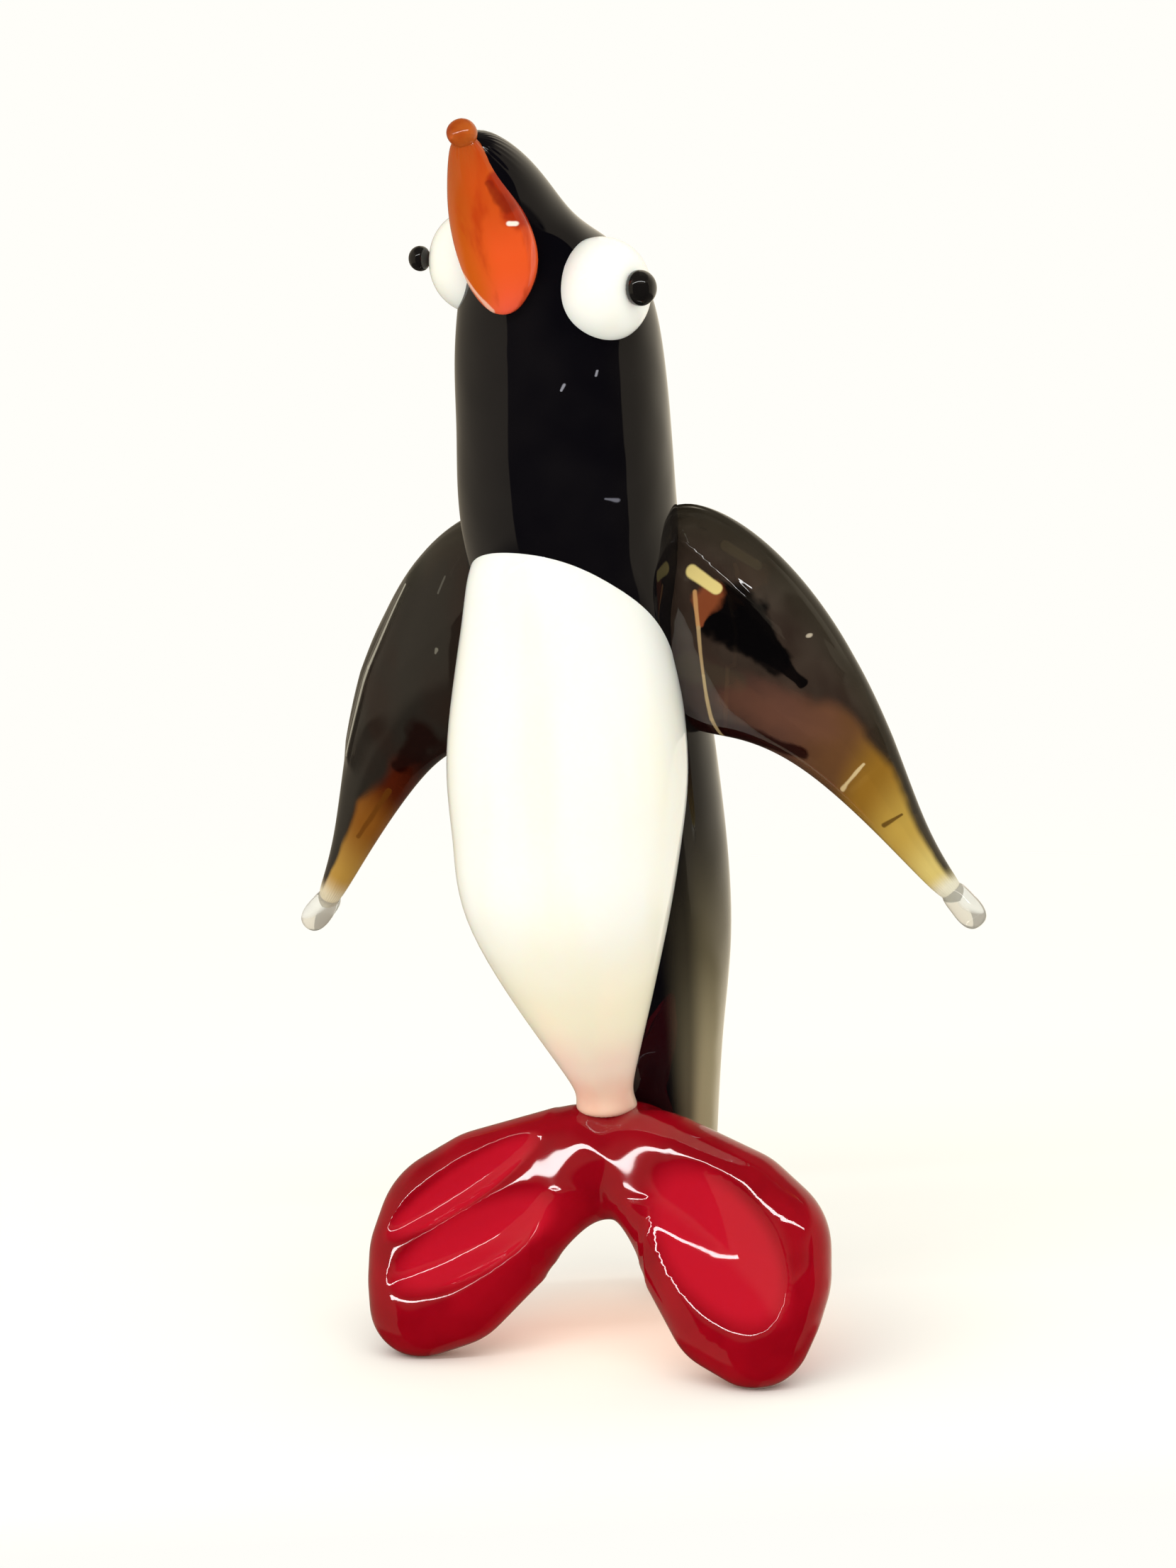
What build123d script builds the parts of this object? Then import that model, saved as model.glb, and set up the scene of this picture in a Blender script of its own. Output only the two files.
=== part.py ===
# Lampworked glass penguin that looks up, standing on two pressed feet and its tail.
# Every gather of glass is a solid of its own, cut to sit on the gather that it was fused to.
# Millimetres and degrees. The figure faces -Y, +X is its left side, and the table is at Z = 0.
# While it is built, X and Y are measured from the axis of the neck. The last step centres it.

import os
from copy import deepcopy
from math import cos, radians, sin, sqrt

from build123d import *

# Black gather, from the tail up. A rise is measured from the ring below, and a setback lies
# behind the axis of the neck.
tail_width = 3.2
tail_depth = 2.8
tail_setback = 10.8
rump_rise = 11.0
rump_width = 7.2
rump_depth = 6.6
rump_setback = 7.2
back_rise = 12.0
back_width = 12.3
back_depth = 10.6
back_setback = 4.2
shoulder_rise = 15.0
shoulder_width = 12.1
shoulder_depth = 11.2
shoulder_setback = 2.3
neck_rise = 10.0
neck_diameter = 11.6
head_rise = 8.0
head_diameter = 11.2

# Head, turned to its right. A reach lies in front of the axis of the neck, a lean tips forward.
head_turn = 7.0
brow_rise = 4.4
brow_reach = 1.4
brow_lean = 24.0
brow_width = 9.2
brow_depth = 8.5
beak_root_rise = 4.2
beak_root_reach = 4.3
beak_root_lean = 40.0
beak_root_width = 5.5
beak_root_depth = 5.3
beak_end_rise = 4.1
beak_end_reach = 8.0
beak_end_lean = 44.0
beak_end_diameter = 2.1

# Orange gather under the beak, and the bead that closes its tip. The throat rises from the head.
throat_rise = 2.9
throat_reach = 5.1
throat_width = 1.8
throat_depth = 1.2
gape_rise = 2.7
gape_reach = 5.4
gape_width = 4.3
gape_depth = 3.0
lower_beak_lean = 18.0
lower_beak_end_drop = 0.3
lower_beak_end_reach = 8.6
lower_beak_end_width = 1.3
beak_bead_diameter = 1.65

# Eyes, at rises from the head
left_eye_rise = 3.75
right_eye_rise = 5.1
eye_spacing = 7.9
eye_reach = 1.6
eye_diameter = 5.7
left_pupil_diameter = 1.8
right_pupil_diameter = 1.35
left_pupil_angle = 17.0
right_pupil_angle = 30.0
pupil_stand = 0.3
pupil_lift = 0.3

# White belly, from its stem over the rump to its bib
stem_rise = 2.2
stem_diameter = 3.2
stem_setback = 1.0
hem_rise = 4.3
hem_width = 5.6
hem_reach = 0.4
paunch_rise = 7.0
paunch_width = 10.9
paunch_depth = 10.4
paunch_reach = 2.5
waist_rise = 10.0
waist_width = 13.4
waist_depth = 12.4
waist_reach = 1.7
chest_rise = 7.0
chest_width = 11.6
chest_depth = 12.0
chest_reach = 1.0
bib_rise = 4.7
bib_width = 7.6
bib_depth = 6.8
bib_reach = 1.5

# Wings, from above the shoulder out. A drop is measured down from the root of the wing.
wing_root_rise = 2.8
wing_root_span = 3.0
wing_root_setback = 2.4
wing_root_chord = 12.4
wing_root_thickness = 5.0
blade_span = 9.0
blade_setback = 2.6
blade_drop = 0.6
blade_chord = 11.8
blade_thickness = 4.6
blade_lean = 7.0
bend_span = 13.8
bend_setback = 3.7
bend_drop = 5.4
bend_chord = 7.2
bend_thickness = 3.5
bend_lean = 30.0
wrist_span = 17.3
wrist_setback = 4.9
wrist_drop = 11.9
wrist_chord = 2.6
wrist_thickness = 2.1
wrist_lean = 58.0
wing_end_span = 19.9
wing_end_setback = 5.8
wing_end_drop = 15.8
wing_end_chord = 1.5
wing_end_thickness = 1.4
wing_end_lean = 48.0
wing_bead_length = 2.4
wing_bead_diameter = 1.6
wing_bead_stand = 0.72
right_wing_droop = 2.4
lining_depth = 3.4
lining_start_share = 0.6
lining_wrist_share = 0.2

# Red bar between the feet, and the feet pressed onto its ends
feet_offset = 0.9
bar_level = 10.2
bar_setback = 1.7
bar_length = 6.4
bar_diameter = 6.6
bar_end_diameter = 5.4
foot_slope = 60.0
foot_heel_height = 13.5
foot_heel_setback = 1.5
heel_span = 1.8
heel_drop = 3.4
heel_radius = 3.3
instep_span = 5.9
instep_drop = 5.4
instep_radius = 3.7
ball_span = 9.6
ball_drop = 8.3
ball_radius = 3.9
toe_span = 10.4
toe_drop = 12.4
toe_radius = 3.1
foot_thickness = 3.9
foot_edge_radius = 1.6
press_span = 8.0
press_drop = 8.5
press_length = 10.4
press_width = 5.2
press_depth = 0.9
left_press_angle = 45.0
right_press_angle = 38.0
press_rim_radius = 0.3

# Heights of the rings above the table
back_height = rump_rise + back_rise
shoulder_height = back_height + shoulder_rise
neck_height = shoulder_height + neck_rise
head_height = neck_height + head_rise
brow_height = head_height + brow_rise
beak_root_height = brow_height + beak_root_rise
beak_end_height = beak_root_height + beak_end_rise
throat_height = head_height + throat_rise
gape_height = throat_height + gape_rise
lower_beak_end_height = beak_end_height - lower_beak_end_drop
stem_height = rump_rise + stem_rise
hem_height = stem_height + hem_rise
paunch_height = hem_height + paunch_rise
waist_height = paunch_height + waist_rise
chest_height = waist_height + chest_rise
bib_height = chest_height + bib_rise
wing_root_height = shoulder_height + wing_root_rise


def ring(height, reach, lean=0.0, turn=0.0):
    """The plane of a ring round a gather, in front of the neck's axis and tipped forward."""
    turned = radians(turn)
    across = Vector(cos(turned), -sin(turned), 0)
    forward = Vector(-sin(turned), -cos(turned), 0)
    rise = Vector(0, 0, 1) * cos(radians(lean)) + forward * sin(radians(lean))
    return Plane(forward * reach + Vector(0, 0, height), x_dir=across, z_dir=rise)


def head_ring(height, reach, lean):
    """The plane of a ring round the turned head."""
    return ring(height, reach, lean, head_turn)


def head_point(sideways, reach, height):
    """A point of the turned head, sideways and in front of the neck's axis."""
    return head_ring(height, reach, 0).from_local_coords((sideways, 0, 0))


def oval(width, depth):
    """The outline of a ring, with its seam at the same side whatever its proportions."""
    Circle(width / 2)
    scale(by=(1, depth / width, 1))


def seat_on(gather):
    """Cut the piece in hand so that it sits on a gather. A copy does the cutting."""
    add(deepcopy(gather), mode=Mode.SUBTRACT)


# Black body: tail, back, neck, head and upper beak drawn from one rod
beak_end_ring = head_ring(beak_end_height, beak_end_reach, beak_end_lean)
with BuildPart() as body:
    with BuildSketch(ring(0, -tail_setback)):
        oval(tail_width, tail_depth)
    with BuildSketch(ring(rump_rise, -rump_setback)):
        oval(rump_width, rump_depth)
    with BuildSketch(ring(back_height, -back_setback)):
        oval(back_width, back_depth)
    with BuildSketch(ring(shoulder_height, -shoulder_setback)):
        oval(shoulder_width, shoulder_depth)
    with BuildSketch(ring(neck_height, 0)):
        oval(neck_diameter, neck_diameter)
    loft()
    with BuildSketch(ring(neck_height, 0)):
        oval(neck_diameter, neck_diameter)
    with BuildSketch(head_ring(head_height, 0, 0)):
        oval(head_diameter, head_diameter)
    with BuildSketch(head_ring(brow_height, brow_reach, brow_lean)):
        oval(brow_width, brow_depth)
    with BuildSketch(head_ring(beak_root_height, beak_root_reach, beak_root_lean)):
        oval(beak_root_width, beak_root_depth)
    with BuildSketch(beak_end_ring):
        oval(beak_end_diameter, beak_end_diameter)
    loft()

# White belly, a teardrop fused to the front of the body
with BuildPart() as belly:
    with BuildSketch(ring(stem_height, -stem_setback)):
        oval(stem_diameter, stem_diameter)
    with BuildSketch(ring(hem_height, hem_reach)):
        oval(hem_width, hem_width)
    with BuildSketch(ring(paunch_height, paunch_reach)):
        oval(paunch_width, paunch_depth)
    with BuildSketch(ring(waist_height, waist_reach)):
        oval(waist_width, waist_depth)
    with BuildSketch(ring(chest_height, chest_reach)):
        oval(chest_width, chest_depth)
    with BuildSketch(ring(bib_height, bib_reach)):
        oval(bib_width, bib_depth)
    loft()
    seat_on(body.part)

# Orange lower beak, a leaf from the throat to the tip
with BuildPart() as lower_beak:
    with BuildSketch(head_ring(throat_height, throat_reach, lower_beak_lean)):
        Ellipse(throat_width / 2, throat_depth / 2)
    with BuildSketch(head_ring(gape_height, gape_reach, lower_beak_lean)):
        Ellipse(gape_width / 2, gape_depth / 2)
    with BuildSketch(head_ring(lower_beak_end_height, lower_beak_end_reach, lower_beak_lean)):
        Circle(lower_beak_end_width / 2)
    loft()
    seat_on(body.part)

# Amber bead on the tip of the beak
with BuildPart() as beak_bead:
    with Locations(beak_end_ring.offset(beak_bead_diameter / 4)):
        Sphere(beak_bead_diameter / 2)
    seat_on(body.part)
    seat_on(lower_beak.part)


def eyeball(side, height):
    """A white bead sunk into the side of the head."""
    centre = head_point(side * eye_spacing / 2, eye_reach, height)
    with BuildPart() as bead:
        with Locations(Plane(centre, z_dir=head_point(side, 0, 0))):
            Sphere(eye_diameter / 2)
        seat_on(body.part)
    return bead.part


def pupil(side, height, diameter, forward_angle, eye):
    """A black dot on the outer side of an eye."""
    forward = radians(forward_angle)
    distance = eye_diameter / 2 + pupil_stand
    sideways = side * (eye_spacing / 2 + distance * cos(forward))
    centre = head_point(sideways, eye_reach + distance * sin(forward), height + pupil_lift)
    with BuildPart() as dot:
        with Locations(Plane(centre, z_dir=head_point(side, 0, 0))):
            Sphere(diameter / 2)
        seat_on(eye)
    return dot.part


left_eye_height = head_height + left_eye_rise
right_eye_height = head_height + right_eye_rise
left_eye = eyeball(1, left_eye_height)
right_eye = eyeball(-1, right_eye_height)
left_pupil = pupil(1, left_eye_height, left_pupil_diameter, left_pupil_angle, left_eye)
right_pupil = pupil(-1, right_eye_height, right_pupil_diameter, right_pupil_angle, right_eye)


def wing_plane(side, droop, span, setback, drop, lean):
    """The plane across a wing at one place along it, with its Y axis up the chord."""
    height = wing_root_height - drop - droop * span / wing_end_span
    slope = radians(lean)
    return Plane(
        (side * span, setback, height),
        x_dir=(0, side, 0),
        z_dir=(side * cos(slope), 0, -sin(slope)),
    )


def wing(side, droop):
    """A tapering leaf from the shoulder: dark blade, amber lining under it, clear bead at its end."""
    root = wing_plane(side, droop, wing_root_span, wing_root_setback, 0, 0)
    middle = wing_plane(side, droop, blade_span, blade_setback, blade_drop, blade_lean)
    bend = wing_plane(side, droop, bend_span, bend_setback, bend_drop, bend_lean)
    wrist = wing_plane(side, droop, wrist_span, wrist_setback, wrist_drop, wrist_lean)
    end = wing_plane(side, droop, wing_end_span, wing_end_setback, wing_end_drop, wing_end_lean)

    with BuildPart() as leaf:
        with BuildLine() as spine:
            Spline(root.origin, middle.origin, bend.origin, wrist.origin, end.origin)
        with BuildSketch(root):
            Ellipse(wing_root_thickness / 2, wing_root_chord / 2)
        with BuildSketch(middle):
            Ellipse(blade_thickness / 2, blade_chord / 2)
        with BuildSketch(bend):
            Ellipse(bend_thickness / 2, bend_chord / 2)
        with BuildSketch(wrist):
            Ellipse(wrist_thickness / 2, wrist_chord / 2)
        with BuildSketch(end):
            Ellipse(wing_end_thickness / 2, wing_end_chord / 2)
        sweep(path=spine.line, multisection=True)
        seat_on(body.part)
        seat_on(belly.part)

    # The seam runs from the lower edge of the blade, over the bend, to the upper edge of the end
    seam_start = middle.from_local_coords((0, -blade_chord * lining_start_share, 0))
    seam_bend = bend.from_local_coords((0, lining_depth - bend_chord / 2, 0))
    seam_wrist = wrist.from_local_coords((0, wrist_chord * lining_wrist_share, 0))
    seam_end = end.from_local_coords((0, wing_end_chord, wing_bead_length))
    with BuildPart() as under_seam:
        with BuildSketch(Plane.XZ):
            with BuildLine():
                seam = Spline(*[(p.X, p.Z) for p in (seam_start, seam_bend, seam_wrist, seam_end)])
                Polyline(seam @ 1, (seam_end.X, 0), (seam_start.X, 0), seam @ 0)
            make_face()
        extrude(amount=wing_end_setback + wing_root_thickness, both=True)

    with BuildPart() as blade:
        add(leaf.part)
        add(under_seam.part, mode=Mode.SUBTRACT)

    with BuildPart() as lining:
        add(leaf.part)
        add(under_seam.part, mode=Mode.INTERSECT)

    bead_centre = end.from_local_coords((0, 0, wing_bead_stand))
    lower_half = (Align.CENTER, Align.MAX)
    with BuildPart() as bead:
        with BuildSketch(Plane(bead_centre, x_dir=end.z_dir, z_dir=(0, -1, 0))):
            Ellipse(wing_bead_length / 2, wing_bead_diameter / 2)
            Rectangle(wing_bead_length, wing_bead_diameter, align=lower_half, mode=Mode.SUBTRACT)
        revolve(axis=Axis(end.origin, end.z_dir))
        seat_on(leaf.part)
    return blade.part, lining.part, bead.part


left_blade, left_lining, left_wing_bead = wing(1, 0)
right_blade, right_lining, right_wing_bead = wing(-1, right_wing_droop)

# Red bar across the stem, between the feet
with BuildPart() as foot_bar:
    with BuildSketch(Plane((feet_offset, bar_setback, bar_level), x_dir=(1, 0, 0), z_dir=(0, -1, 0))):
        with BuildLine():
            Polyline(
                (-bar_length / 2, bar_end_diameter / 2), (-bar_length / 2, 0),
                (bar_length / 2, 0), (bar_length / 2, bar_end_diameter / 2),
            )
            ThreePointArc(
                (bar_length / 2, bar_end_diameter / 2), (0, bar_diameter / 2),
                (-bar_length / 2, bar_end_diameter / 2),
            )
        make_face()
    revolve(axis=Axis((0, bar_setback, bar_level), (1, 0, 0)))
    seat_on(body.part)
    seat_on(belly.part)


def foot(side, press_angle):
    """A rounded paddle that slopes down to the toe, with an oval pressed into its front."""
    slope = radians(foot_slope)
    sole = Plane(
        (feet_offset, foot_heel_setback, foot_heel_height),
        x_dir=(1, 0, 0),
        z_dir=(0, -sin(slope), cos(slope)),
    )
    # The press is a round-ended tool that lies along the foot
    tool_radius = (press_width**2 / 4 + press_depth**2) / (2 * press_depth)
    tool_share = sqrt(1 - ((tool_radius - press_depth) / tool_radius) ** 2)
    tool_length = press_length / tool_share
    tool_lift = foot_thickness / 2 + tool_radius - press_depth
    angle = radians(press_angle)
    along = sole.x_dir * (side * cos(angle)) - sole.y_dir * sin(angle)
    tool_centre = sole.from_local_coords((side * press_span, -press_drop, tool_lift))

    with BuildPart() as paddle:
        with BuildSketch(sole):
            with Locations((side * heel_span, -heel_drop)):
                Circle(heel_radius)
            with Locations((side * instep_span, -instep_drop)):
                Circle(instep_radius)
            with Locations((side * ball_span, -ball_drop)):
                Circle(ball_radius)
            with Locations((side * toe_span, -toe_drop)):
                Circle(toe_radius)
            make_hull()
        extrude(amount=foot_thickness / 2, both=True)
        fillet(paddle.faces().filter_by(sole).edges(), radius=foot_edge_radius)
        with BuildSketch(Plane(tool_centre, x_dir=along, z_dir=sole.z_dir)):
            Ellipse(tool_length / 2, tool_radius)
            Rectangle(tool_length, 2 * tool_radius, align=(Align.CENTER, Align.MAX), mode=Mode.SUBTRACT)
        revolve(axis=Axis(tool_centre, along), mode=Mode.SUBTRACT)
        fillet(paddle.edges(Select.LAST), radius=press_rim_radius)
        split(bisect_by=Plane.XY, keep=Keep.TOP)
        seat_on(foot_bar.part)
        seat_on(body.part)
        seat_on(belly.part)
        split(bisect_by=Plane((feet_offset, 0, 0), z_dir=(side, 0, 0)), keep=Keep.TOP)
    return paddle.part


left_foot = foot(1, left_press_angle)
right_foot = foot(-1, right_press_angle)

pieces = {
    "body": body.part,
    "belly": belly.part,
    "lower_beak": lower_beak.part,
    "beak_bead": beak_bead.part,
    "left_eye": left_eye,
    "right_eye": right_eye,
    "left_pupil": left_pupil,
    "right_pupil": right_pupil,
    "left_wing_blade": left_blade,
    "right_wing_blade": right_blade,
    "left_wing_lining": left_lining,
    "right_wing_lining": right_lining,
    "left_wing_bead": left_wing_bead,
    "right_wing_bead": right_wing_bead,
    "foot_bar": foot_bar.part,
    "left_foot": left_foot,
    "right_foot": right_foot,
}

# Stand the whole figure over the origin, with its lowest face on the table
boxes = [piece.bounding_box() for piece in pieces.values()]
bounds = boxes[0]
for box in boxes[1:]:
    bounds = bounds.add(box)
stand = Location((-bounds.center().X, -bounds.center().Y, -bounds.min.Z))

os.makedirs("parts", exist_ok=True)
for name, piece in pieces.items():
    placed = piece.moved(stand)
    placed.label = name
    export_step(placed, f"parts/{name}.step")
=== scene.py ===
# Lampworked glass penguin that looks up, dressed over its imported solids.
# Metres, +Z up. The figure faces -Y and +X is its left side, as in the frame.
# Sizes and places of the glass are in mm and degrees, measured from the axis of the neck.
import math

import bmesh
import bpy
import numpy as np
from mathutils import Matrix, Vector


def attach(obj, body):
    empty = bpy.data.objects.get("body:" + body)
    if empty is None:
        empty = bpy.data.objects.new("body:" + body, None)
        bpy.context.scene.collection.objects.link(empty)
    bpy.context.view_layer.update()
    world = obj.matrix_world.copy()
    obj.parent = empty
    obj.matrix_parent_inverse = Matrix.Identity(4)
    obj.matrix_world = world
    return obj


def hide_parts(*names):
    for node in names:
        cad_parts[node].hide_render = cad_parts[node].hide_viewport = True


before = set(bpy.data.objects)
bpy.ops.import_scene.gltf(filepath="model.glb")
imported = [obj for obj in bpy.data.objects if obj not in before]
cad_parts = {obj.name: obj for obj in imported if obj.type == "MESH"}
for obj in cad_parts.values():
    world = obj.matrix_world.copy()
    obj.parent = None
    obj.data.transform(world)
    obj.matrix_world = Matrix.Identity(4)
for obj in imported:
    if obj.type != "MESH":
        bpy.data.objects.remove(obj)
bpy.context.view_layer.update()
print("frame loaded with", len(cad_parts), "solids")

mm = 0.001
neckAxis = np.array([0, -1.523, 0])  # where the axis of the neck stands in the frame, mm
smoothest = 3  # subdivision levels of most gathers
ringRounds = 20  # how often the places of the rings are corrected
finest = 1e-6  # nearer than this counts as the same place, m


# Modelling helpers
def placeOf(point):
    return Vector((np.array(point) + neckAxis) * mm)


def turnSelected(degrees, axis, centre):
    # with no window this operator turns the other way, so the sign is changed
    if degrees:
        bpy.ops.transform.rotate(value=-math.radians(degrees), orient_axis=axis, center_override=centre)


def pickOnly(obj):
    bpy.ops.object.select_all(action="DESELECT")
    obj.select_set(True)
    bpy.context.view_layer.objects.active = obj


def applyModifier(obj, kind, **settings):
    modifier = obj.modifiers.new(kind.lower(), kind)
    for key, value in settings.items():
        setattr(modifier, key, value)
    pickOnly(obj)
    bpy.ops.object.modifier_apply(modifier=modifier.name)


def smoothSkin(obj, levels):
    applyModifier(obj, "SUBSURF", levels=levels, render_levels=levels)
    bpy.ops.object.shade_smooth()


def skinThrough(wanted):
    # subdivision pulls the skin in between rings, so the rings spread until it passes where it should
    control = wanted.copy()
    for _ in range(ringRounds):
        skin = control.copy()
        skin[1:-1] = (control[:-2] + 4 * control[1:-1] + control[2:]) / 6
        control += wanted - skin
    return control


def markRing(obj, share):
    # how far along the gather the ring in hand lies
    ringMesh = bmesh.from_edit_mesh(obj.data)
    along = ringMesh.verts.layers.float["along"]
    for vertex in ringMesh.verts:
        if vertex.select:
            vertex[along] = share
    bmesh.update_edit_mesh(obj.data)


def markSection(obj, upSign):
    # each vertex keeps its place round the section when its ring is extruded
    sectionMesh = bmesh.from_edit_mesh(obj.data)
    across = sectionMesh.verts.layers.float["across"]
    front = sectionMesh.verts.layers.float["front"]
    for vertex in sectionMesh.verts:
        vertex[across] = 2 * vertex.co.x * upSign
        vertex[front] = -2 * vertex.co.y
    bmesh.update_edit_mesh(obj.data)


def drawGather(name, rings, segments=24, levels=smoothest, axis="X", upSign=1):
    # rings are (x, y, z, width, depth, lean), and each is extruded from the one before
    control = np.array(rings, float)
    control[:, :5] = skinThrough(control[:, :5])
    control[:, 3:5] *= 3 / (2 + math.cos(2 * math.pi / segments))  # a subdivided ring shrinks by this
    control[:, :3] += neckAxis
    control[:, :5] *= mm
    bpy.ops.object.select_all(action="DESELECT")
    bpy.ops.mesh.primitive_circle_add(vertices=segments, radius=0.5, fill_type="NGON")
    obj = bpy.context.object
    obj.name = name
    for attribute in ("along", "across", "front"):
        obj.data.attributes.new(attribute, "FLOAT", "POINT")
    bpy.ops.object.mode_set(mode="EDIT")
    markSection(obj, upSign)
    centre, oldWidth, oldDepth, oldLean = Vector((0, 0, 0)), 1, 1, 0
    for number, (x, y, z, width, depth, lean) in enumerate(control):
        if number:
            bpy.ops.mesh.extrude_region_move()
            turnSelected(-oldLean, axis, centre)
        bpy.ops.transform.resize(value=(width / oldWidth, depth / oldDepth, 1), center_override=centre)
        place = Vector((x, y, z))
        bpy.ops.transform.translate(value=place - centre)
        turnSelected(lean, axis, place)
        markRing(obj, number / (len(control) - 1))
        centre, oldWidth, oldDepth, oldLean = place, width, depth, lean
    bpy.ops.mesh.select_all(action="SELECT")
    bpy.ops.mesh.normals_make_consistent(inside=False)
    bpy.ops.object.mode_set(mode="OBJECT")
    smoothSkin(obj, levels)
    return obj


def selectSkin(obj, isWanted):
    # goes into edit mode with only the wanted part of the skin selected
    pickOnly(obj)
    bpy.ops.object.mode_set(mode="EDIT")
    bpy.ops.mesh.select_all(action="DESELECT")
    skin = bmesh.from_edit_mesh(obj.data)
    marks = skin.verts.layers.float
    for vertex in skin.verts:
        if isWanted(vertex, marks):
            vertex.select_set(True)
    skin.select_flush_mode()
    bmesh.update_edit_mesh(obj.data)


def pullSelected(shift, falloff, reach):
    # the skin within reach follows what is selected
    bpy.ops.transform.translate(value=Vector(shift) * mm, use_proportional_edit=True,
                                proportional_edit_falloff=falloff, proportional_size=reach * mm,
                                use_proportional_connected=True)
    bpy.ops.object.mode_set(mode="OBJECT")


def addPiece(obj, material, slot, *nodes):
    obj.data.materials.clear()
    obj.data.materials.append(material)
    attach(obj, "root")
    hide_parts(*nodes)


# Material helpers
noiseLow, noiseHigh = 0.3, 0.7  # nearly all of a noise lies between these
handDrawn = {"glossScale": 220, "glossShares": (0.6, 1.5), "rippleScale": 260,
             "markEdgeScale": 900, "markEdgeRange": (0.25, 0.75)}


def shade(red, green, blue):
    # a colour as it is read off a screen, turned into light
    parts = [part / 255 for part in (red, green, blue)]
    return [p / 12.92 if p < 0.04045 else ((p + 0.055) / 1.055) ** 2.4 for p in parts] + [1]


def addNode(tree, kind, inputs=None, **settings):
    node = tree.nodes.new("ShaderNode" + kind)
    for key, value in settings.items():
        setattr(node, key, value)
    for key, value in (inputs or {}).items():
        if isinstance(value, bpy.types.NodeSocket):
            tree.links.new(value, node.inputs[key])
        else:
            node.inputs[key].default_value = value
    return node


def addRamp(tree, factor, stops):
    ramp = addNode(tree, "ValToRGB", {"Fac": factor})
    ramp.color_ramp.interpolation = "EASE"
    while len(ramp.color_ramp.elements) < len(stops):
        ramp.color_ramp.elements.new(0.5)
    for element, (place, colour) in zip(ramp.color_ramp.elements, stops):
        element.position = place
        element.color = colour
    return ramp.outputs["Color"]


def addColours(tree, factor, stops):
    return addRamp(tree, factor, [(place, shade(*colour)) for place, colour in stops])


def addLevels(tree, factor, stops):
    # a ramp of plain numbers
    return addRamp(tree, factor, [(place, [level] * 3 + [1]) for place, level in stops])


def mixColours(tree, factor, first, second):
    mix = addNode(tree, "Mix", {0: factor, 6: first, 7: second}, data_type="RGBA")
    return mix.outputs[2]


def mapRange(tree, value, low, high, lowResult=0.0, highResult=1.0):
    inputs = {"Value": value, "From Min": low, "From Max": high, "To Min": lowResult, "To Max": highResult}
    return addNode(tree, "MapRange", inputs, interpolation_type="SMOOTHSTEP").outputs["Result"]


def combine(tree, operation, first, second):
    return addNode(tree, "Math", {0: first, 1: second}, operation=operation).outputs["Value"]


def combineVectors(tree, operation, first, second):
    return addNode(tree, "VectorMath", {0: first, 1: second}, operation=operation).outputs


def objectPlace(tree):
    return addNode(tree, "TexCoord").outputs["Object"]


def objectPart(tree, part):
    return addNode(tree, "SeparateXYZ", {"Vector": objectPlace(tree)}).outputs[part]


def pieceMark(tree, name):
    return addNode(tree, "Attribute", attribute_name=name).outputs["Fac"]


def noiseAt(tree, scale, stretch=(1, 1, 1), detail=2.0):
    mapped = addNode(tree, "Mapping", {"Vector": objectPlace(tree), "Scale": stretch}).outputs["Vector"]
    return addNode(tree, "TexNoise", {"Vector": mapped, "Scale": scale, "Detail": detail}).outputs["Fac"]


def addMottle(tree, scale, first, second):
    # two colours of a glass that were never quite stirred together
    return addColours(tree, noiseAt(tree, scale), [(noiseLow, first), (noiseHigh, second)])


def addVeins(tree, colour, veins):
    # clouds of another colour, drawn out with the glass
    clouds = noiseAt(tree, veins["scale"], veins["stretch"], veins["detail"])
    mask = mapRange(tree, clouds, *veins["range"], 0.0, veins["strength"])
    return mixColours(tree, mask, colour, shade(*veins["colour"]))


def streakAndLightMask(tree, start, end, startSize, endSize, soft=0.4, wobble=0.25):
    # 1 inside a tapering mark from start to end, as seen from the front: a streak through the glass, or
    # light or shade painted on it
    first = placeOf((start[0], 0, start[1]))
    run = placeOf((end[0], 0, end[1])) - first
    away = combineVectors(tree, "SUBTRACT", objectPlace(tree), first)["Vector"]
    away = combineVectors(tree, "MULTIPLY", away, (1, 0, 1))["Vector"]
    share = combineVectors(tree, "DOT_PRODUCT", away, run / run.length_squared)["Value"]
    share = addNode(tree, "Math", {0: share, 1: 0.0}, operation="ADD", use_clamp=True).outputs["Value"]
    nearest = addNode(tree, "VectorMath", {0: run, "Scale": share}, operation="SCALE").outputs["Vector"]
    gap = combineVectors(tree, "DISTANCE", away, nearest)["Value"]
    size = mapRange(tree, share, 0, 1, startSize * mm, endSize * mm)
    ratio = combine(tree, "DIVIDE", gap, size)
    clouds = noiseAt(tree, handDrawn["markEdgeScale"])
    uneven = mapRange(tree, clouds, *handDrawn["markEdgeRange"], -wobble, wobble)
    return mapRange(tree, combine(tree, "ADD", ratio, uneven), 1 + soft, 1 - soft)


def paintStreaksAndLight(tree, colour, streaksAndLight):
    # a mark, a streak in the glass or painted light or shade, is its colour, strength, start and end as
    # (x, z), size at start, size at end, and then, if it needs them, how soft and how uneven its edge is
    for streakAndLightColour, strength, *place in streaksAndLight:
        mask = combine(tree, "MULTIPLY", streakAndLightMask(tree, *place), strength)
        colour = mixColours(tree, mask, colour, shade(*streakAndLightColour))
    return colour


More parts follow.
